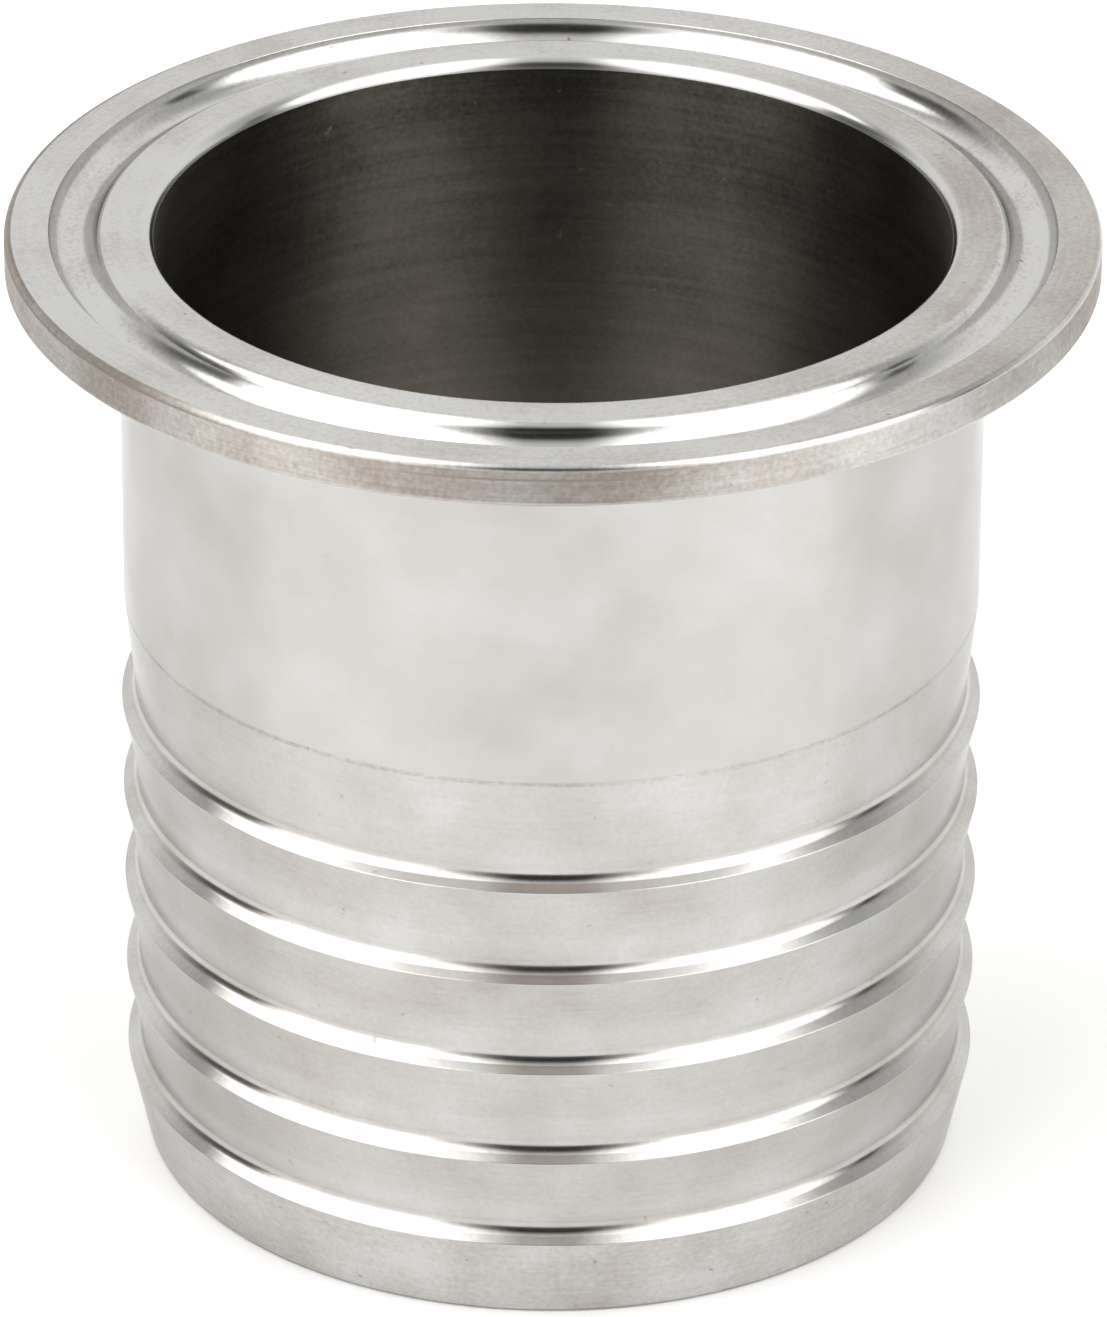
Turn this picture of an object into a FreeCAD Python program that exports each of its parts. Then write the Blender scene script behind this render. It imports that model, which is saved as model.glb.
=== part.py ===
import FreeCAD, Part
import math
import os
import Sketcher

# Sanitary clamp hose barb, turned in one piece from stainless steel bar.
# The bore's axis is Z. The hose tail stands on Z = 0 and points down, and the clamp
# flange with its gasket groove is on top. Lengths are millimetres.

NODE = "clamp_hose_barb"
FULL_TURN = 360.0

# Driving sizes: name, number, meaning. Walls are measured out from the bore.
SIZES = [
    ("overall_height", 59.3, "tail end face to gasket face"),
    ("bore_diameter", 46.6, "straight bore, right through"),
    ("bore_lip_round", 0.8, "radius where the bore meets the gasket face"),
    ("bore_exit_chamfer", 0.3, "edge broken where the bore leaves the tail"),
    ("flange_diameter", 64.0, "outside of the clamp flange"),
    ("rim_height", 2.4, "upright outer wall of the flange, with its rounded edges"),
    ("rim_top_round", 0.4, "radius on the flange's upper outside edge"),
    ("rim_bottom_round", 0.25, "radius on the flange's lower outside edge"),
    ("clamp_angle", 20.0, "degrees, slope of the underside that the clamp wedges"),
    ("seat_radius", 1.45, "half round section of the gasket groove"),
    ("seat_inner_round", 0.8, "radius on the groove's inner edge, the outer is sharp"),
    ("seat_offset", 0.1, "groove's centre circle, out from the middle of the face"),
    ("neck_wall", 2.1, "wall of the plain neck, which gives a two inch tube's outside"),
    ("neck_fillet", 1.5, "fillet between the neck and the flange's underside"),
    ("lead_cone_length", 6.95, "neck's lower end down to the top barb's edge"),
    ("barb_root_wall", 1.44, "thinnest wall, where a barb's shoulder meets the cone above"),
    ("barb_root_round", 0.8, "radius in that corner"),
    ("barb_depth", 0.9, "root out to a barb's sharp edge"),
    ("shoulder_rise", 0.58, "height of a shoulder, from the barb's edge to its root"),
    ("cone_waist", 0.28, "root out to the cone halfway, less than half the depth: it flares"),
    ("cone_flare", 15.0, "radius that blends a cone's two slopes"),
    ("barb_pitch", 6.02, "edge to edge of the full barbs"),
    ("full_barbs", 3, "barbs at the full pitch"),
    ("tail_barb_pitch", 5.52, "lowest barb's edge to the next, which is shorter"),
    ("tail_crest_height", 5.22, "lowest barb's edge above the end face"),
    ("tail_end_wall", 1.2, "wall of the tail at its end face"),
    ("tail_edge_round", 0.35, "radius on the tail's outer end edge"),
]

# Radii and heights that sections use, worked out on the sheet
AXIS = "0"
BORE = "sizes.bore_diameter / 2"
LIP = BORE + " + sizes.bore_lip_round"
EXIT = BORE + " + sizes.bore_exit_chamfer"
NECK = BORE + " + sizes.neck_wall"
ROOT = BORE + " + sizes.barb_root_wall"
WAIST = ROOT + " + sizes.cone_waist"
CREST = ROOT + " + sizes.barb_depth"
TAIL = BORE + " + sizes.tail_end_wall"
RIM = "sizes.flange_diameter / 2"
RIM_EDGE = RIM + " - sizes.rim_top_round"
SEAT = "(" + LIP + " + " + RIM_EDGE + ") / 2 + sizes.seat_offset"
OUTSIDE = "sizes.flange_diameter"
FACE = "sizes.overall_height"
RIM_FOOT = FACE + " - sizes.rim_height"
TAPER_FOOT = RIM_FOOT + " - (" + RIM + " - (" + NECK + ")) * tan(sizes.clamp_angle)"
CREST_1 = "sizes.tail_crest_height"
CREST_2 = CREST_1 + " + sizes.tail_barb_pitch"
CREST_3 = CREST_2 + " + sizes.barb_pitch"
TOP_CREST = CREST_2 + " + sizes.full_barbs * sizes.barb_pitch"
NECK_FOOT = TOP_CREST + " + sizes.lead_cone_length"
RISE = " + sizes.shoulder_rise"
WAIST_1 = "(" + CREST_1 + RISE + " + " + CREST_2 + ") / 2"
WAIST_2 = "(" + CREST_2 + RISE + " + " + CREST_3 + ") / 2"

doc = FreeCAD.newDocument("sanitary_fitting")
sheet = doc.addObject("Spreadsheet::Sheet", "sizes")
for row, (alias, number, meaning) in enumerate(SIZES, start=1):
    sheet.set("A%d" % row, alias)
    sheet.set("B%d" % row, str(number))
    sheet.set("C%d" % row, meaning)
    sheet.setAlias("B%d" % row, alias)
doc.recompute()

body = doc.addObject("PartDesign::Body", "turned_body")
body.Label = NODE
body.Placement = FreeCAD.Placement()


def size(expression):
    """What an expression on the sheet comes to."""
    return float(body.evalExpression(expression))


def datum(role):
    """The body's own plane or axis with this role."""
    return next(item for item in body.Origin.OriginFeatures if item.Role == role)


def new_sketch(name):
    """An empty sketch on the upright plane through the bore's axis."""
    sketch = body.newObject("Sketcher::SketchObject", name)
    sketch.AttachmentSupport = [(datum("XZ_Plane"), "")]
    sketch.MapMode = "FlatFace"
    return sketch


def hold(sketch, kind, *rest):
    """Adds a constraint that has no size."""
    sketch.addConstraint(Sketcher.Constraint(kind, *rest))


def dimension(sketch, name, kind, *rest, expression):
    """Adds a named dimension that follows the sheet."""
    index = sketch.addConstraint(Sketcher.Constraint(kind, *rest, size(expression)))
    sketch.renameConstraint(index, name)
    sketch.setExpression("Constraints." + name, expression)


def set_radius(sketch, name, place, expression):
    """Fixes how far a point lies from the bore's axis."""
    dimension(sketch, name + "_radius", "DistanceX", -1, 1, *place, expression=expression)


def set_height(sketch, name, place, expression):
    """Fixes how high a point lies above the tail's end face."""
    if expression == AXIS:
        hold(sketch, "PointOnObject", *place, -1)
    else:
        dimension(sketch, name + "_height", "DistanceY", -1, 1, *place, expression=expression)


def section(name, *corners):
    """A closed section of straight sides, with arcs in the corners that are rounded.

    A corner is (name, radius, height) or (name, radius, height, rounding), and all but
    its name are expressions on the sheet. A side between two equal radii is held
    upright, and one between two equal heights level.
    """
    sketch = new_sketch(name)
    points = [FreeCAD.Vector(size(corner[1]), size(corner[2]), 0) for corner in corners]
    for side, start in enumerate(points):
        end = points[(side + 1) % len(points)]
        sketch.addGeometry(Part.LineSegment(start, end), False)
    for side in range(len(points)):
        hold(sketch, "Coincident", (side - 1) % len(points), 2, side, 1)
    places = []
    arcs = []
    for side, (corner, _, _, *rounding) in enumerate(corners):
        places.append((side, 1))
        for expression in rounding:
            sketch.fillet(side, 1, size(expression), True, True)
            places[side] = (sketch.GeometryCount - 1, 1)
            arcs.append((corner + "_round", sketch.GeometryCount - 2, expression))
    for side, (corner, radius, height, *_) in enumerate(corners):
        before = corners[side - 1] if side else (None, None, None)
        if radius == before[1]:
            hold(sketch, "Vertical", side - 1)
        else:
            set_radius(sketch, corner, places[side], radius)
        if height == before[2]:
            hold(sketch, "Horizontal", side - 1)
        else:
            set_height(sketch, corner, places[side], height)
    for arc_name, arc, expression in arcs:
        dimension(sketch, arc_name, "Radius", arc, expression=expression)
    return sketch


def finish(feature):
    """Makes a feature the body's tip and sees that it changed the metal."""
    before = 0.0 if body.Shape.isNull() else body.Shape.Volume
    body.Tip = feature
    doc.recompute()
    after = body.Shape.Volume
    print("%-15s %+10.1f mm3, now %9.1f" % (feature.Name, after - before, after))
    if after == before:
        raise RuntimeError(feature.Name + " changes nothing")
    return feature


def turned(kind, name, sketch):
    """Turns a section right round the bore's axis, as metal or as a cut."""
    if not sketch.FullyConstrained:
        raise RuntimeError(sketch.Name + " is loose")
    feature = body.newObject("PartDesign::" + kind, name)
    feature.Profile = sketch
    feature.ReferenceAxis = (sketch, ["V_Axis"])
    feature.Angle = FULL_TURN
    return finish(feature)


# Bored blank: the end taper up to the lowest barb's edge, plain bar where the other
# barbs are cut, the neck, and the flange with its wedge shaped underside
turned(
    "Revolution",
    "blank",
    section(
        "blank_section",
        ("bore_exit", BORE, "sizes.bore_exit_chamfer"),
        ("exit_edge", EXIT, AXIS),
        ("tail_end", TAIL, AXIS, "sizes.tail_edge_round"),
        ("lowest_edge", CREST, CREST_1),
        ("bar_foot", RIM, CREST_1),
        ("bar_top", RIM, NECK_FOOT),
        ("neck_foot", NECK, NECK_FOOT),
        ("neck_top", NECK, TAPER_FOOT, "sizes.neck_fillet"),
        ("rim_foot", RIM, RIM_FOOT, "sizes.rim_bottom_round"),
        ("rim_top", RIM, FACE, "sizes.rim_top_round"),
        ("bore_lip", BORE, FACE, "sizes.bore_lip_round"),
    ),
)

# Gasket groove: half round, sunk in the flange's face, with a sharp outer edge and an
# inner edge that rolls over into the face
seat = new_sketch("seat_section")
seat_radius = size("sizes.seat_radius")
roll_radius = size("sizes.seat_inner_round")
seat_centre = FreeCAD.Vector(size(SEAT), size(FACE), 0)
roll_drop = math.asin(roll_radius / (seat_radius + roll_radius))
roll_reach = (seat_radius + roll_radius) * math.cos(roll_drop)
roll_centre = seat_centre - FreeCAD.Vector(roll_reach, roll_radius, 0)
normal = FreeCAD.Vector(0, 0, 1)
seat_ring = Part.Circle(seat_centre, normal, seat_radius)
roll_ring = Part.Circle(roll_centre, normal, roll_radius)
roll_top = roll_centre + FreeCAD.Vector(0, roll_radius, 0)
outer_edge = seat_centre + FreeCAD.Vector(seat_radius, 0, 0)
seat_start = math.pi + roll_drop
groove = seat.addGeometry(Part.ArcOfCircle(seat_ring, seat_start, 2 * math.pi), False)
roll = seat.addGeometry(Part.ArcOfCircle(roll_ring, roll_drop, math.pi / 2), False)
mouth = seat.addGeometry(Part.LineSegment(roll_top, outer_edge), False)
hold(seat, "Tangent", groove, 1, roll, 1)
hold(seat, "Tangent", roll, 2, mouth, 1)
hold(seat, "Coincident", groove, 2, mouth, 2)
hold(seat, "Horizontal", mouth)
hold(seat, "PointOnObject", groove, 3, mouth)
dimension(seat, "groove_round", "Radius", groove, expression="sizes.seat_radius")
dimension(seat, "roll_round", "Radius", roll, expression="sizes.seat_inner_round")
set_radius(seat, "seat_centre", (groove, 3), SEAT)
set_height(seat, "seat_centre", (groove, 3), FACE)
turned("Groove", "gasket_groove", seat)

# Barbs: each cut runs from one sharp edge over its shoulder into the root and out along
# the next cone, which flares towards its edge. The lowest cone is shorter, so it has a
# cut of its own.
turned(
    "Groove",
    "tail_barb",
    section(
        "tail_barb_section",
        ("edge_below", CREST, CREST_1),
        ("clear_foot", OUTSIDE, CREST_1),
        ("clear_top", OUTSIDE, CREST_2),
        ("edge_above", CREST, CREST_2),
        ("waist", WAIST, WAIST_1, "sizes.cone_flare"),
        ("root", ROOT, CREST_1 + RISE, "sizes.barb_root_round"),
    ),
)

# Full barbs: one cut, repeated up the tail
full_barb = turned(
    "Groove",
    "full_barb",
    section(
        "full_barb_section",
        ("edge_below", CREST, CREST_2),
        ("clear_foot", OUTSIDE, CREST_2),
        ("clear_top", OUTSIDE, CREST_3),
        ("edge_above", CREST, CREST_3),
        ("waist", WAIST, WAIST_2, "sizes.cone_flare"),
        ("root", ROOT, CREST_2 + RISE, "sizes.barb_root_round"),
    ),
)
barb_row = body.newObject("PartDesign::LinearPattern", "barb_row")
barb_row.Originals = [full_barb]
barb_row.Direction = (datum("Z_Axis"), [""])
barb_row.setExpression("Length", "(sizes.full_barbs - 1) * sizes.barb_pitch")
barb_row.setExpression("Occurrences", "sizes.full_barbs")
finish(barb_row)

# Lead cone: from the top barb's shoulder out to the neck
turned(
    "Groove",
    "lead_cone",
    section(
        "lead_cone_section",
        ("edge_below", CREST, TOP_CREST),
        ("clear_foot", OUTSIDE, TOP_CREST),
        ("clear_top", OUTSIDE, NECK_FOOT),
        ("neck_foot", NECK, NECK_FOOT),
        ("root", ROOT, TOP_CREST + RISE, "sizes.barb_root_round"),
    ),
)

# Every feature has to be sound, and the part one closed solid
for item in doc.Objects:
    if "Invalid" in item.State or "Error" in item.State:
        raise RuntimeError("%s is %s" % (item.Name, item.State))
shape = body.Shape
if shape.isNull() or not shape.isValid() or len(shape.Solids) != 1:
    raise RuntimeError(body.Label + " is not one sound solid")
box = shape.optimalBoundingBox(False)
print("%s: %.2f x %.2f x %.2f mm" % (body.Label, box.XLength, box.YLength, box.ZLength))

os.makedirs("parts", exist_ok=True)
shape.exportStep("parts/%s.step" % body.Label)
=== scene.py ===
# %% [markdown]
# # A turned stainless steel hose barb
# The object is one piece of metal: a clamp flange with a gasket groove on top, a plain
# neck, and a tail with five barbs that a hose is pushed over. A lathe made all of it, so
# every surface is round about the bore's axis, which is Z here. This file dresses the
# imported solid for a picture: camera, light, a fine turned mesh and its metal.

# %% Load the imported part
import math

import bpy
import numpy as np
from mathutils import Matrix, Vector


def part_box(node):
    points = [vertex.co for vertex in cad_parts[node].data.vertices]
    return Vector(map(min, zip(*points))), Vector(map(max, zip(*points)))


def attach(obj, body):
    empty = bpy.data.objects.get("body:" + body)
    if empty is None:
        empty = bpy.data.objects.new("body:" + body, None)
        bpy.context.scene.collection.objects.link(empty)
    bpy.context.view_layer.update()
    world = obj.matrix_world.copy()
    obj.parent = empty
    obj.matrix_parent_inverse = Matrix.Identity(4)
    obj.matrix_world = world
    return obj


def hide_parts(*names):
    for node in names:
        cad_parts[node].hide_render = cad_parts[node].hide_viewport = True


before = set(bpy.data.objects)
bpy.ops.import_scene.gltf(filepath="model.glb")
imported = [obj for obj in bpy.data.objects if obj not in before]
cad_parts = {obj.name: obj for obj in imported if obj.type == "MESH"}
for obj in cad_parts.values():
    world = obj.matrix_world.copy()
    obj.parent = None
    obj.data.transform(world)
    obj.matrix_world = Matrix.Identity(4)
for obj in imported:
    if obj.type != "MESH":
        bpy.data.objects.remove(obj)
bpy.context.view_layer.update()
NODE = "clamp_hose_barb"
MM = 0.001


# %% [markdown]
# ## The camera
# A long lens far away shows the part with little perspective. Its place is given the way
# a photographer would set a tripod: so far from the part's middle, so steeply looking
# down, and then three small turns of the head. The lens follows from the focal length in
# pixels, because a 36 mm film spans the picture's long side.

# %% Stand the camera in front of the part
PICTURE_HEIGHT = 1317
FOCAL_PIXELS = 9353.9
FILM = 36.0
AIM_HEIGHT = 30 * MM
AWAY = 558.6 * MM
LOOK_DOWN = math.radians(27.754)
NOD = math.radians(-0.0524)
TURN = math.radians(0.0159)
ROLL = math.radians(0.2834)

lens = bpy.data.cameras.new("lens")
lens.sensor_width = FILM
lens.lens = FOCAL_PIXELS / PICTURE_HEIGHT * FILM
lens.clip_start = 0.01
camera = bpy.data.objects.new("camera", lens)
bpy.context.scene.collection.objects.link(camera)
tripod = Matrix.Translation(
    (0, -AWAY * math.cos(LOOK_DOWN), AIM_HEIGHT + AWAY * math.sin(LOOK_DOWN))
)
head = Matrix.Rotation(-TURN, 4, "Z") @ Matrix.Rotation(math.pi / 2 - LOOK_DOWN - NOD, 4, "X")
camera.matrix_world = tripod @ head @ Matrix.Rotation(ROLL, 4, "Z")
bpy.context.scene.camera = camera
bpy.context.scene.view_settings.view_transform = "Standard"
print("lens %.1f mm" % lens.lens)


# %% [markdown]
# ## Sums on sockets
# A material is a net of nodes, and most of its nodes are plain arithmetic. Here one small
# class wraps a socket, so that `1 - mask` or `noise * 0.2 + 0.1` can be written in Python
# and the Math nodes appear by themselves. Every other kind of node comes from one method.

# %% A socket that takes part in sums
class Wire:
    """One output socket of a node tree, or the bare tree when there is no socket yet."""

    def __init__(self, tree, socket=None):
        self.tree = tree
        self.socket = socket

    def node(self, kind, settings, inputs, give=None):
        """Adds a node: its settings come first, then its sockets' values and links.

        Returns the output named by give, or nothing for a node that ends the tree.
        """
        made = self.tree.nodes.new(kind)
        for name, value in settings.items():
            setattr(made, name, value)
        for name, value in inputs.items():
            socket = next(one for one in made.inputs if name in (one.identifier, one.name))
            if isinstance(value, Wire):
                self.tree.links.new(value.socket, socket)
            else:
                socket.default_value = value
        for one in made.outputs:
            if give in (one.identifier, one.name):
                return Wire(self.tree, one)

    def maths(self, operation, *others):
        """The result of a Math node whose first number is this one."""
        numbers = dict(zip(("Value", "Value_001", "Value_002"), (self,) + others))
        return self.node("ShaderNodeMath", {"operation": operation}, numbers, "Value")

    def __add__(self, other):
        return self.maths("ADD", other)

    def __mul__(self, other):
        return self.maths("MULTIPLY", other)

    __radd__ = __add__
    __rmul__ = __mul__

    def __sub__(self, other):
        return self.maths("SUBTRACT", other)

    def __rsub__(self, other):
        return self * -1 + other

    def __truediv__(self, other):
        return self.maths("DIVIDE", other)

    def __abs__(self):
        return self.maths("ABSOLUTE")

    def most(self, other):
        """The larger of the two numbers."""
        return self.maths("MAXIMUM", other)

    def rise(self, low, high):
        """A soft step: 0 below low, 1 above high, and an S curve between."""
        inputs = {"Value": self, "From Min": low, "From Max": high}
        settings = {"interpolation_type": "SMOOTHSTEP"}
        return self.node("ShaderNodeMapRange", settings, inputs, "Result")

    def parts(self):
        """The three numbers of a vector."""
        first = self.node("ShaderNodeSeparateXYZ", {}, {"Vector": self}, "X")
        return [Wire(self.tree, one) for one in first.socket.node.outputs]

    def vector(self, x, y, z):
        """A vector made of three numbers."""
        return self.node("ShaderNodeCombineXYZ", {}, {"X": x, "Y": y, "Z": z}, "Vector")

    def mix(self, share, first, second):
        """The first colour, with a share of the second mixed in."""
        inputs = {"Factor_Float": share, "A_Color": first, "B_Color": second}
        return self.node("ShaderNodeMix", {"data_type": "RGBA"}, inputs, "Result_Color")

    def noise(self, x, y, z, detail):
        """Cloudy noise with cells one unit wide, from about 0 to 1."""
        inputs = {"Vector": self.vector(x, y, z), "Scale": 1.0, "Detail": detail}
        return self.node("ShaderNodeTexNoise", {}, inputs, "Fac")


# %% [markdown]
# ## A white tent in a darker room
# Polished metal shows little of its own: it shows the room. The sharp dark lines in the
# steel come from a narrow gap in front, where the lens looks in, and its greys come from
# the room behind the tent. Cloth walls and lamps could be modelled, but a light that is
# painted on the sky is as soft, and nothing in it needs placing. So every direction gets
# a brightness from a few masks: two white walls, and between them the gap, which is
# wider low down, lit by the floor at its foot, and runs up from the lens and over the
# top. Past the tent's slanted back edge comes the grey room. The edge is dark low down
# and lighter high up and at the right, where only a dark stand crosses it, and the
# tent's cloth reaches further back at the top left.

# %% Name the tent's light
TENT_WHITE = 2.45
TENT_TINT = (1.0, 0.998, 0.99, 1.0)
ROOM_GREY = 1.0
EDGE_DARK = 0.1
EDGE_HIGH = 0.5
EDGE_RIGHT = 0.5
GAP_DARK = 0.035
GAP_OVERHEAD = 0.75
GAP_FOOT = 0.9
GAP_HALF = 0.1
GAP_WIDER_IN_FRONT = 0.16
GAP_WIDER_LOW_DOWN = 0.13
BACK_SLANT = 0.5
ROOM_TURN = 0.12
STAND_DEPTH = 0.06

# %% Make the sky, and read its directions
# across points to the right, depth away from the lens, and up upwards
world = bpy.data.worlds.new("tent")
world.use_nodes = True
world.node_tree.nodes.clear()
bpy.context.scene.world = world
sky = Wire(world.node_tree)
across, depth, up = sky.node("ShaderNodeTexCoord", {}, {}, "Generated").parts()

# %% Paint the walls and the gap between them
low_down = (depth * -1).rise(0.65, 0.9)
gap_width = (depth * -GAP_WIDER_IN_FRONT).most(0.0) + low_down * GAP_WIDER_LOW_DOWN + GAP_HALF
gap = 1 - (abs(across) / gap_width).rise(0.4, 1.9)
overhead = up.rise(0.65, 1.0)
foot = 1 - up.rise(-0.1, 0.1)
gap_light = overhead * (GAP_OVERHEAD - GAP_DARK) + GAP_DARK + foot * GAP_FOOT
front = (1 - gap) * TENT_WHITE + gap * gap_light

# %% Paint the back edge, the room behind it and the cloth at the top left
behind = depth - up * BACK_SLANT
past_edge = behind.rise(-0.42, -0.2)
edge = up.rise(0.25, 0.75) * (EDGE_HIGH - EDGE_DARK) + EDGE_DARK
stand = (1 - abs(depth - STAND_DEPTH).rise(0.03, 0.12)) * (1 - up.rise(0.3, 0.5))
edge = edge.most(across.rise(0.0, 0.6) * (1 - stand) * EDGE_RIGHT)
leftward = across - across.most(0.0)
ceiling = up.rise(0.74, 0.88)
in_room = (behind + leftward * ROOM_TURN).rise(-0.08, 0.45).most(ceiling)
back = in_room * ROOM_GREY + (1 - in_room) * edge
cloth = (1 - across.rise(-0.2, -0.08)) * up.rise(0.5, 0.66) * (1 - behind.rise(-0.08, 0.1))
back = back + cloth * (TENT_WHITE - back)

# %% Light the sky
radiance = front * (1 - past_edge) + back * past_edge
glow_inputs = {"Color": TENT_TINT, "Strength": radiance}
glow = sky.node("ShaderNodeBackground", {}, glow_inputs, "Background")
sky.node("ShaderNodeOutputWorld", {}, {"Surface": glow})
print("sky of %d nodes" % len(world.node_tree.nodes))


# %% [markdown]
# ## The floor
# The part stands on a pale matt board. One large square is enough for it: it also fills
# the picture behind the part, and it lights the part from below, as the table does in a
# tent.

# %% Lay the floor
UNDER_THE_PART = -0.02 * MM
FLOOR_HALF = 3.0
FLOOR_PALE = 0.95
FLOOR_ROUGH = 0.6
FLOOR_GLOSS = 0.2

corners = np.array([(-1, -1), (1, -1), (1, 1), (-1, 1)]) * FLOOR_HALF
board = bpy.data.meshes.new("floor")
board.from_pydata([(x, y, UNDER_THE_PART) for x, y in corners], [], [(0, 1, 2, 3)])
floor = bpy.data.objects.new("floor", board)
bpy.context.scene.collection.objects.link(floor)
paper = bpy.data.materials.new("pale_board")
paper.use_nodes = True
matt = paper.node_tree.nodes["Principled BSDF"]
matt.inputs["Base Color"].default_value = (FLOOR_PALE, FLOOR_PALE, FLOOR_PALE, 1)
matt.inputs["Roughness"].default_value = FLOOR_ROUGH
matt.inputs["Specular IOR Level"].default_value = FLOOR_GLOSS
board.materials.append(paper)
print("floor %.0f m wide" % (2 * FLOOR_HALF))


# %% [markdown]
# ## The turned outline
# On a lathe, the tool's path is the part's outline: straight cuts joined by the round of
# the tool's nose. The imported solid's own triangles could be shown as they are, but bright
# metal would show their flats. So the outline is drawn again the lathe's way, as bends
# and straight runs in the plane of radius and height, and each bend knows the true
# direction of its surface at every point. It goes round with the metal on its left: out
# across the tail's end, up over the barbs and the neck, round the rim, in over the gasket
# face and down the bore. Edges that are sharp on the real part still get a very small
# round, because a perfectly sharp edge never catches the light.

# %% Bends and runs
DEGREES_A_STEP = 9.0
FEWEST_POINTS = 4


def bend(before, corner, after, radius):
    """The arc that rounds a corner: its points, and the way the metal faces at each.

    In words: the arc starts where the tangent length, radius times the tangent of half
    the turn, meets the first side. Its centre is one radius to the side it turns to, and
    the heading swings evenly from the first side's to the second's.
    """
    first = np.arctan2(corner[1] - before[1], corner[0] - before[0])
    second = np.arctan2(after[1] - corner[1], after[0] - corner[0])
    turn = (second - first + math.pi) % (2 * math.pi) - math.pi
    start = np.array(corner) - radius * abs(math.tan(turn / 2)) * np.array(
        [math.cos(first), math.sin(first)]
    )
    return sweep(start, first, turn, radius)


def sweep(start, heading, turn, radius):
    """An arc that starts at a point with a heading and swings through a turn.

    In words: centre = start + left of the heading times the radius, for a left turn, and
    the other side for a right turn. Each point lies one radius from the centre, and the
    metal, on the left, faces right of the heading there.
    """
    steps = max(FEWEST_POINTS, math.ceil(abs(math.degrees(turn)) / DEGREES_A_STEP) + 1)
    headings = heading + turn * np.linspace(0, 1, steps)
    facing = np.stack([np.sin(headings), -np.cos(headings)], axis=1)
    side = math.copysign(radius, turn)
    centre = np.array(start) - side * facing[0]
    return centre + side * facing, facing


def run(arc_before, arc_after, spacing=2.0, lead=0.03):
    """Points along the straight side between two arcs, close together at its ends.

    In words: start + (end - start) times a share, where the shares are evenly spaced
    from lead to length - lead.
    """
    start, end = arc_before[0][-1], arc_after[0][0]
    length = np.hypot(*(end - start))
    if length < 4 * lead:
        return np.empty((0, 2)), np.empty((0, 2))
    count = max(2, math.ceil(length / spacing) + 1)
    shares = np.linspace(lead, length - lead, count)[:, None] / length
    direction = (end - start) / length
    facing = np.array([[direction[1], -direction[0]]])
    return start + (end - start) * shares, np.repeat(facing, count, axis=0)


# %% [markdown]
# ## The corners, from the end of the tail round to the bore
# The sizes are the solid's own, in millimetres. The rim and the height come from the
# packed box, so the picture can't drift from the part. Each bend and each side also
# carries its finish: how rough it is, how strongly the tool's marks show, and how
# tarnished it looks. The barbs' cones flare towards their edges, which is one very wide
# bend halfway up each. The gasket groove is a half circle with a sharp outer edge, and
# its inner edge rolls over into the face.

# %% Name the sizes
low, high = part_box(NODE)
HEIGHT = (high[2] - low[2]) / MM
RIM = min(-low[0], high[0]) / MM
BORE = 23.3
BORE_LIP = 0.8
BORE_EXIT = 0.3
NECK = 25.4
CREST = 25.64
WAIST = 25.02
ROOT = 24.74
TAIL = 24.5
RIM_FOOT = HEIGHT - 2.4
CLAMP_ANGLE = math.radians(20)
TAPER_FOOT = RIM_FOOT - (RIM - NECK) * math.tan(CLAMP_ANGLE)
SEAT = 27.95
SEAT_ROUND = 1.45
ROLL_ROUND = 0.8
CRESTS = [5.22, 10.74, 16.76, 22.78, 28.8]
RISE = 0.58
NECK_FOOT = 35.75
print("height %.2f, rim radius %.2f mm" % (HEIGHT, RIM))

# %% Name the roundings
SHARP = 0.05
BROKEN = 0.1
TAIL_EDGE = 0.35
ROOT_ROUND = 0.8
FLARE = 15.0
STEP_ROUND = 4.0
NECK_FILLET = 1.5
RIM_BOTTOM = 0.25
RIM_TOP = 0.4

# %% Name the finishes
# roughness, tool marks, tarnish, which in places carries painted shade
TAIL_END = (0.30, 0.6, 0.4)
TAPER = (0.24, 0.8, 0.24)
# The cones' upper halves carry more tarnish than their feet; the difference is painted shade,
# deepening the darker reflection near each crest.
CONE_TOP_SHADED = (0.23, 0.45, 0.34)
CONE_FOOT = (0.22, 0.4, 0.22)
FILLET = (0.17, 0.4, 0.4)
SHOULDER = (0.12, 0.4, 0.2)
STEP = (0.30, 1.2, 0.5)
PLAIN = (0.2, 0.12, 0.24)
# The underside's high tarnish is painted shade, kept at its front only, where the barbs' shoulders
# mirror it as their dark front band.
SHADED_UNDERSIDE = (0.30, 0.6, 0.9)
WALL = (0.60, 1.0, 0.65)
ROUND = (0.16, 0.8, 0.2)
FOOT = (0.3, 0.6, 0.45)
LAND = (0.28, 0.85, 0.1)
GROOVE = (0.14, 1.2, 0.05)
LIP = (0.14, 0.2, 0.0)
INSIDE = (0.58, 0.35, 0.2)
DEEPER = 4.6

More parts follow.
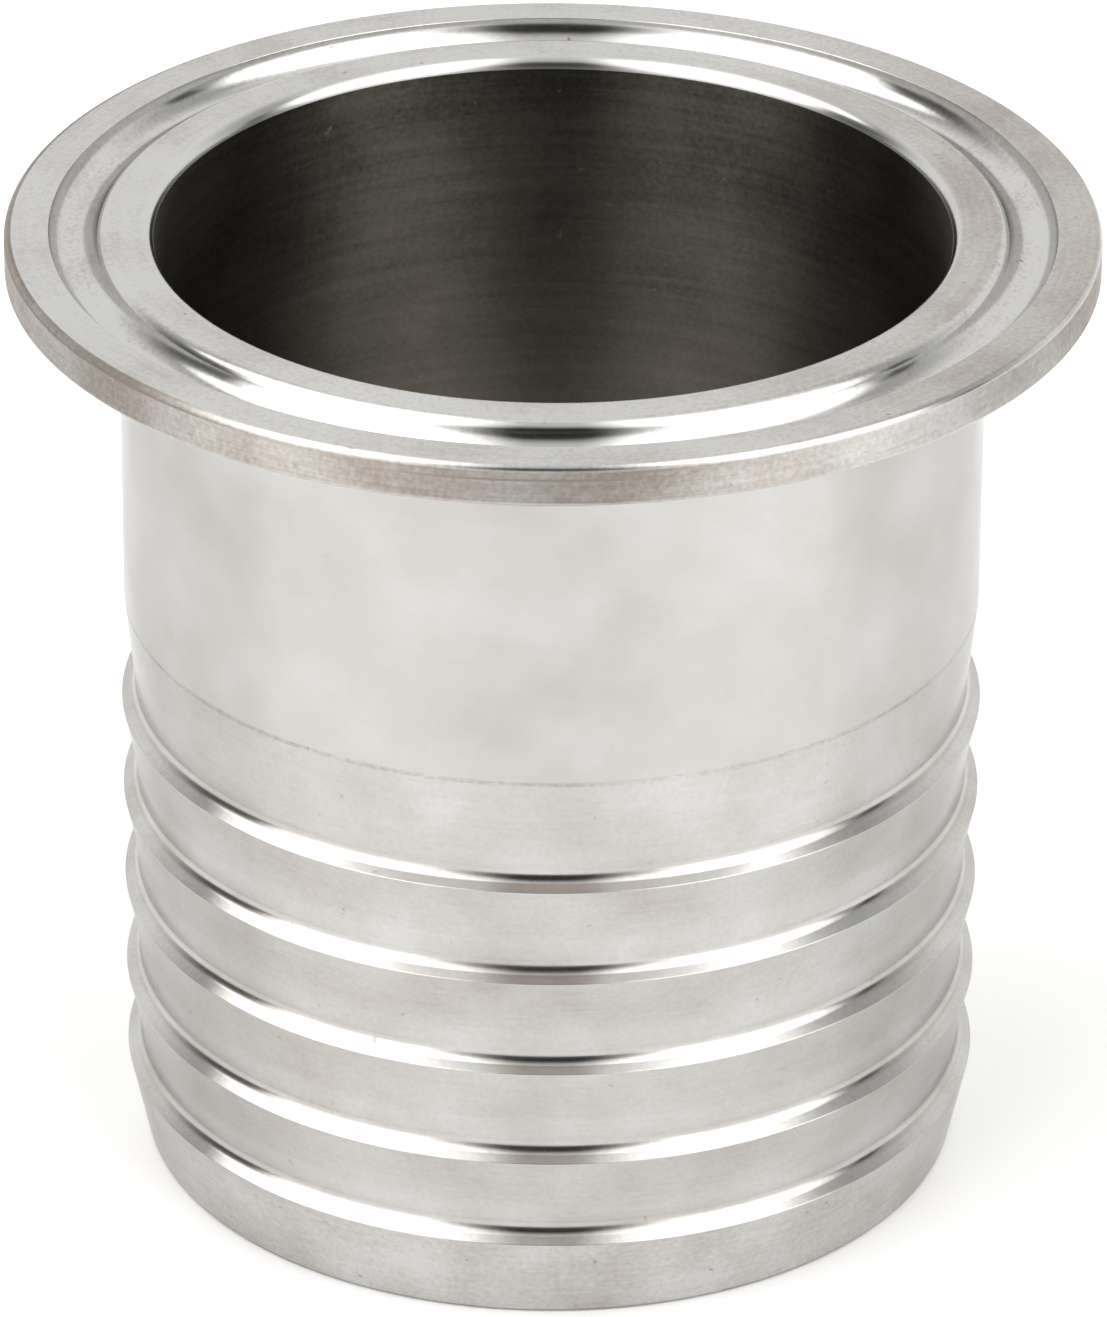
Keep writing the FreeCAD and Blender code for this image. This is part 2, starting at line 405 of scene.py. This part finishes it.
# %% Bend every corner, and sweep the groove
# radius, height, rounding, finish of the bend, finish of the side after it
corners = [
    (BORE, BORE_EXIT, BROKEN, TAIL_END, TAIL_END),
    (BORE + BORE_EXIT, 0.0, BROKEN, TAIL_END, TAIL_END),
    (TAIL, 0.0, TAIL_EDGE, TAIL_END, TAPER),
]
for crest, above in zip(CRESTS, CRESTS[1:] + [None]):
    corners.append((CREST, crest, SHARP, SHOULDER, SHOULDER))
    corners.append((ROOT, crest + RISE, ROOT_ROUND, FILLET, CONE_FOOT))
    if above:
        corners.append((WAIST, (crest + RISE + above) / 2, FLARE, CONE_TOP_SHADED, CONE_TOP_SHADED))
corners += [
    (NECK, NECK_FOOT, STEP_ROUND, STEP, PLAIN),
    (NECK, TAPER_FOOT, NECK_FILLET, SHADED_UNDERSIDE, SHADED_UNDERSIDE),
    (RIM, RIM_FOOT, RIM_BOTTOM, FOOT, WALL),
    (RIM, HEIGHT, RIM_TOP, ROUND, LAND),
    (SEAT + SEAT_ROUND, HEIGHT, SHARP, GROOVE, GROOVE),
]
at = [corner[:2] for corner in corners]
before = [(BORE, HEIGHT)] + at[:-1]
after = at[1:] + [(SEAT + SEAT_ROUND, 0.0)]
arcs = [
    bend(one, corner[:2], two, corner[2]) for one, corner, two in zip(before, corners, after)
]

down = -math.pi / 2
skip = SHARP / SEAT_ROUND
drop = math.asin(ROLL_ROUND / (SEAT_ROUND + ROLL_ROUND))
groove_start = (SEAT + SEAT_ROUND * math.cos(skip), HEIGHT - SEAT_ROUND * math.sin(skip))
groove = sweep(groove_start, down - skip, -(math.pi - drop - skip), SEAT_ROUND)
roll = sweep(groove[0][-1], math.pi / 2 + drop, math.pi / 2 - drop, ROLL_ROUND)
lip = bend((RIM, HEIGHT), (BORE, HEIGHT), (BORE, 0.0), BORE_LIP)
arcs += [groove, roll, lip]
bend_finishes = [corner[3] for corner in corners] + [GROOVE, GROOVE, LIP]
side_finishes = [corner[4] for corner in corners] + [GROOVE, LAND, INSIDE]
print("groove ends %.3f mm below the face's height" % (HEIGHT - roll[0][-1][1]))


# %% [markdown]
# ## Joining the bends, and blending their finishes
# On the real part a polish doesn't stop at a line: it runs out over the next bend. So
# the finish fades round each bend from one side's to the other's. Deep in the bore the
# metal turns lighter and browner, the more so the deeper it lies.

# %% Join bends and sides into one closed outline
def fade(count, start, middle, end):
    """The finish round a bend, which fades into those of the two sides that it joins.

    In words: a straight mix from the first side's finish to the second's, and over it the
    bend's own by a share of sine(pi times the way round).
    """
    way = np.linspace(0, 1, count)[:, None]
    own = np.sin(math.pi * way)
    sides = np.array(start) * (1 - way) + np.array(end) * way
    return sides * (1 - own) + np.array(middle) * own


stretches = []
previous = side_finishes[-1:] + side_finishes[:-1]
for arc, following, came, bent, straight in zip(
    arcs, arcs[1:] + arcs[:1], previous, bend_finishes, side_finishes
):
    stretches.append((*arc, fade(len(arc[0]), came, bent, straight)))
    side = run(arc, following)
    stretches.append((*side, np.tile(straight, (len(side[0]), 1))))
outline = np.concatenate([points for points, _, _ in stretches])
facing = np.concatenate([normals for _, normals, _ in stretches])
finish = np.concatenate([kinds for _, _, kinds in stretches])
bored = outline[:, 0] < BORE + 0.01
finish[bored, 2] += DEEPER * (1 - outline[bored, 1] / HEIGHT) ** 2
steps = np.hypot(*(np.roll(outline, -1, axis=0) - outline).T)
along = np.concatenate([[0.0], np.cumsum(steps)])
print("outline of %d points, %.1f mm long" % (len(outline), along[-1]))


# %% [markdown]
# ## Turning the outline into metal
# The lathe's chuck is a formula: every outline point goes round a circle, so a grid of
# (turn, point along the outline) covers the whole surface. A Screw modifier could turn
# the outline too, but worked out here the mesh can be given the outline's own normals,
# which keeps reflections as smooth as the lathe left them, and its finishes. The grid
# closes on itself both ways, as the metal does. The unwrap is simply the grid: once round
# is 0 to 1 across, and the whole outline is 0 to 1 up.

# %% Turn the mesh
SEGMENTS = 320


def turned_mesh(name, outline, facing, along, finish):
    """A closed surface of revolution about Z.

    In words: at each angle, x = radius times its cosine, y = radius times its sine and
    z = height, and the normal turns the same way.
    """
    angle = np.arange(SEGMENTS) * (2 * math.pi / SEGMENTS)
    ring = np.stack([np.cos(angle), np.sin(angle)], axis=1)

    def spun(flat):
        return np.concatenate(
            [
                ring[:, None, :] * flat[None, :, :1],
                np.broadcast_to(flat[None, :, 1:], (SEGMENTS, len(flat), 1)),
            ],
            axis=2,
        ).reshape(-1, 3)

    count = len(outline)
    turn, point = np.meshgrid(np.arange(SEGMENTS), np.arange(count), indexing="ij")
    corner_turn = np.stack([turn, turn + 1, turn + 1, turn], axis=-1)
    corner_point = np.stack([point, point, point + 1, point + 1], axis=-1)
    faces = (corner_turn % SEGMENTS) * count + corner_point % count
    mesh = bpy.data.meshes.new(name)
    mesh.from_pydata(spun(outline) * MM, [], faces.reshape(-1, 4))
    unwrap = np.stack([corner_turn / SEGMENTS, along[corner_point] / along[-1]], axis=-1)
    mesh.uv_layers.new(name="turning").uv.foreach_set("vector", unwrap.ravel())
    kinds = mesh.attributes.new("finish", "FLOAT_VECTOR", "POINT")
    kinds.data.foreach_set("vector", np.tile(finish, (SEGMENTS, 1)).ravel())
    mesh.shade_smooth()
    mesh.normals_split_custom_set_from_vertices(spun(facing))
    return mesh


metal = turned_mesh("turned_metal", outline, facing, along, finish)
barb = bpy.data.objects.new("turned_metal", metal)
bpy.context.scene.collection.objects.link(barb)
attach(barb, "root")
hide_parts(NODE)
print("%d faces" % len(metal.polygons))


# %% [markdown]
# ## Stainless steel as the tool left it
# One metal, many finishes. The tool's feed marks run right round the part, so the noise
# that stands for them is stretched round it and packed close along the outline: its bump
# bends reflections only across the marks, and the anisotropic gloss smears them the same
# way. Clouds and grains of noise then mix the clean steel with a worn, browner one, by
# the share that the outline's finish asks for. A photograph of scratches could do this
# too, but noise needs no image and follows every bend.
#
# Some places differ on their own, and masks on the metal's own position find them: the
# face is darker towards the right, the rim at the right is cleaner, the left of the rim's
# upper edge is blunt, and a tool scored a line across the rim's front. The flange's
# underside is painted dark at its front only, as painted shade that the barbs' shoulders
# mirror as their dark front band. The neck and the cones are brushed, which dulls them a
# little, and all but their front is darkened further as painted shade. The bore gets a
# near-black steel, painted shade for the dark inside of the tube, and its left and right
# sides are painted darker still.

# %% Read a point's place and finish
class Spot:
    """Where a point of the metal lies, in millimetres, and the finish it was given.

    In words: right, front and height are its x, -y and z, out is its distance from the
    axis, and east and north are x and y divided by that distance. Travel is how far the
    point lies along the outline.
    """

    def __init__(self, shop):
        self.shop = shop
        self.x, self.y, self.z = shop.node("ShaderNodeTexCoord", {}, {}, "Object").parts()
        reach = (self.x * self.x + self.y * self.y).maths("SQRT")
        self.right, self.front, self.height = self.x / MM, self.y / -MM, self.z / MM
        self.out = reach / MM
        self.east, self.north = self.x / reach, self.y / reach
        _, climb, _ = shop.node("ShaderNodeUVMap", {"uv_map": "turning"}, {}, "UV").parts()
        self.travel = climb * along[-1]
        named = {"attribute_name": "finish"}
        given = shop.node("ShaderNodeAttribute", named, {}, "Vector").parts()
        self.rough, self.marks, self.tarnish_and_shade = given

    def turned_noise(self, cells_along, cells_round, detail):
        """Noise that the lathe has drawn out round the part."""
        round_part = self.east * cells_round, self.north * cells_round
        return self.shop.noise(self.travel * cells_along, *round_part, detail)

    def even_noise(self, cells_per_metre, detail):
        """Noise with cells as wide as they are high."""
        place = [way * cells_per_metre for way in (self.x, self.y, self.z)]
        return self.shop.noise(*place, detail)


# %% Find the tool's line
TOOL_LINE = HEIGHT - 0.85


def tool_line(spot):
    """The line that a tool scored across the front of the rim."""
    on_rim = spot.out.rise(RIM - 0.2, RIM - 0.1)
    stretch = spot.right.rise(-10.0, -6.0) * (1 - spot.right.rise(1.0, 5.0))
    scored = stretch * spot.front.rise(20.0, 25.0)
    return (1 - abs(spot.height - TOOL_LINE).rise(0.03, 0.1)) * on_rim * scored


# %% Find the blunt edge
def blunt_edge(spot):
    """The left of the rim's upper edge, where handling has dulled it."""
    on_edge = spot.out.rise(RIM - 0.42, RIM - 0.38) * spot.height.rise(HEIGHT - 0.42, HEIGHT - 0.38)
    return on_edge * (1 - spot.right.rise(-22.0, -15.0))


# %% Find where the metal is darker or cleaner than its finish says, painted shade included
FACE_DARKER_RIGHT = 0.45
RIM_CLEANED = 0.6
UNDERSIDE_SHADE_LIFT = 0.9


def extra_wear_and_shade(spot):
    """How much more a place is darkened than its finish says, or less where it is below 0.

    In words: the face gets darker towards the right, the right of the rim has been
    cleaned, and the painted shade on the flange's underside is taken off all round but
    at its front.
    """
    at_right = spot.right.rise(8.0, 28.0)
    on_face = spot.height.rise(HEIGHT - 0.1, HEIGHT - 0.02)
    on_rim = spot.out.rise(RIM - 0.2, RIM - 0.1)
    cleaned = at_right * (1 - spot.right.rise(23.0, 29.0))
    below_rim = 1 - spot.height.rise(RIM_FOOT - 0.2, RIM_FOOT + 0.1)
    under = spot.height.rise(TAPER_FOOT - 1.5, TAPER_FOOT) * spot.out.rise(NECK + 0.1, NECK + 0.5)
    not_front = 1 - (spot.north * -1).rise(0.955, 0.995)
    wear = on_face * at_right * FACE_DARKER_RIGHT - on_rim * cleaned * RIM_CLEANED
    # painted shade: the underside's is taken off everywhere but at its front
    return wear - under * below_rim * not_front * UNDERSIDE_SHADE_LIFT


# %% Find where the steel is dull, and where shade is painted on it
PAINTED_SHADE_AWAY = 0.65


def dullness_and_painted_shade(spot, below, dulling_and_shade, sides):
    """How much black the brushed metal below the flange gets, more on all but its front as
    painted shade, and the painted shade on the left and right sides of a bore.
    """
    brushed = spot.rough.rise(0.14, 0.2) * below
    # painted shade: all but the front of the neck and cones above the tail's end is darkened
    # further, and so are a bore's left and right sides
    back_and_sides = (1 - (spot.north * -1).rise(0.7, 0.8)) * spot.height.rise(4.5, 5.5)
    return brushed * (back_and_sides * PAINTED_SHADE_AWAY + 1) * dulling_and_shade + abs(spot.east).rise(0.42, 0.7) * sides


# %% Name the marks, the clouds and how much each does
# cells per millimetre along the outline, cells round the part, detail
FEED_MARKS = (7.0, 7.0, 3.0)
BANDS = (1.8, 1.3, 1.0)
# cells per metre, detail
CLOUDS = (160.0, 4.0)
SAND = (3200.0, 2.0)
SPECKS = (1300.0, 2.0)
CLOUD_ROUGH = 0.12
MARK_ROUGH = 0.1
SMUDGE = 0.3
BRUSHED_SMUDGE = 3.5
SCORE_DEPTH = 2e-6
BLUNT_ROUGH = 0.4
BLUNT_WORN = 0.6
LINE_WORN = 0.7

# %% Mix a steel
EDGE_TINT = (0.85, 0.85, 0.85, 1)
BLACK = (0.0, 0.0, 0.0, 1)
QUARTER_TURN = 0.25


def stainless(name, clean, worn, mark_depth, grain, streaks, sides, dulling_and_shade):
    """A turned steel that goes from its clean colour to its worn one, as a material.

    Mark_depth is the depth of the feed marks in metres, grain how far they smear the
    gloss, and streaks how much their bands tarnish it. Of the last two, the first is how
    much painted shade darkens the left and right sides of a bore, and the second how much
    the brushing dims the metal below the flange, which also scales the painted shade on all
    but its front.
    """
    steel = bpy.data.materials.new(name)
    steel.use_nodes = True
    steel.node_tree.nodes.clear()
    shop = Wire(steel.node_tree)
    spot = Spot(shop)
    line, blunt = tool_line(spot), blunt_edge(spot)

    # every noise is taken round its middle, so that it adds and takes away alike
    fine = spot.turned_noise(*FEED_MARKS) - 0.5
    coarse = spot.turned_noise(*BANDS) - 0.5
    cloud = spot.even_noise(*CLOUDS) - 0.5
    sand = spot.even_noise(*SAND) - 0.5
    specks = spot.even_noise(*SPECKS).rise(0.73, 0.77)

    marks = (fine * 0.5 + coarse * 0.8) * spot.marks * mark_depth
    bump = {"Height": marks - line * SCORE_DEPTH, "Distance": 1.0}
    bumped = shop.node("ShaderNodeBump", {}, bump, "Normal")
    roughness = spot.rough + cloud * CLOUD_ROUGH + fine * spot.marks * MARK_ROUGH
    roughness = roughness + blunt * BLUNT_ROUGH

    below = 1 - spot.height.rise(TAPER_FOOT - 1.0, TAPER_FOOT)
    wear = (fine * 0.5 + coarse * 0.3 + cloud * 0.9 + sand + specks) * spot.marks
    smudge = cloud * (below * dulling_and_shade * BRUSHED_SMUDGE + SMUDGE)
    places = extra_wear_and_shade(spot) + blunt * BLUNT_WORN + line * LINE_WORN
    # the share mixes in tarnish and wear, and painted shade on the underside's front and the cones'
    # upper halves
    share = (spot.tarnish_and_shade + wear + smudge + places + coarse * streaks).most(0.0)
    # black mixed in: the brushing's dulling, and painted shade on all but the front below the
    # flange and on a bore's sides
    colour = shop.mix(dullness_and_painted_shade(spot, below, dulling_and_shade, sides), shop.mix(share, clean, worn), BLACK)

    look = {"Base Color": colour, "Metallic": 1.0, "Roughness": roughness, "Normal": bumped}
    look.update({"Anisotropic": grain, "Anisotropic Rotation": QUARTER_TURN})
    look["Specular Tint"] = EDGE_TINT
    surface = shop.node("ShaderNodeBsdfPrincipled", {}, look, "BSDF")
    shop.node("ShaderNodeOutputMaterial", {}, {"Surface": surface})
    print("%s of %d nodes" % (name, len(steel.node_tree.nodes)))
    return steel


# %% Give the outside and the bore their own steels, the bore's painted dark as shade
outside_steel = stainless(
    "turned_stainless",
    clean=(0.63, 0.625, 0.61, 1),
    worn=(0.39, 0.337, 0.30, 1),
    mark_depth=0.4e-6,
    grain=0.85,
    streaks=0.0,
    sides=0.0,
    # dulls the brushed metal, and scales the painted shade on its back and sides
    dulling_and_shade=0.1,
)
# The bore's near-black clean colour is painted shade, for the dark inside of the tube.
shaded_bore_steel = stainless(
    "bored_stainless_painted_dark",
    clean=(0.045, 0.042, 0.036, 1),
    worn=(0.27, 0.243, 0.205, 1),
    mark_depth=0.6e-6,
    grain=0.95,
    streaks=0.2,
    # painted shade on the bore's left and right sides
    sides=0.5,
    dulling_and_shade=0.0,
)
metal.materials.append(outside_steel)
metal.materials.append(shaded_bore_steel)
metal.polygons.foreach_set("material_index", np.tile(bored.astype(np.int32), SEGMENTS))
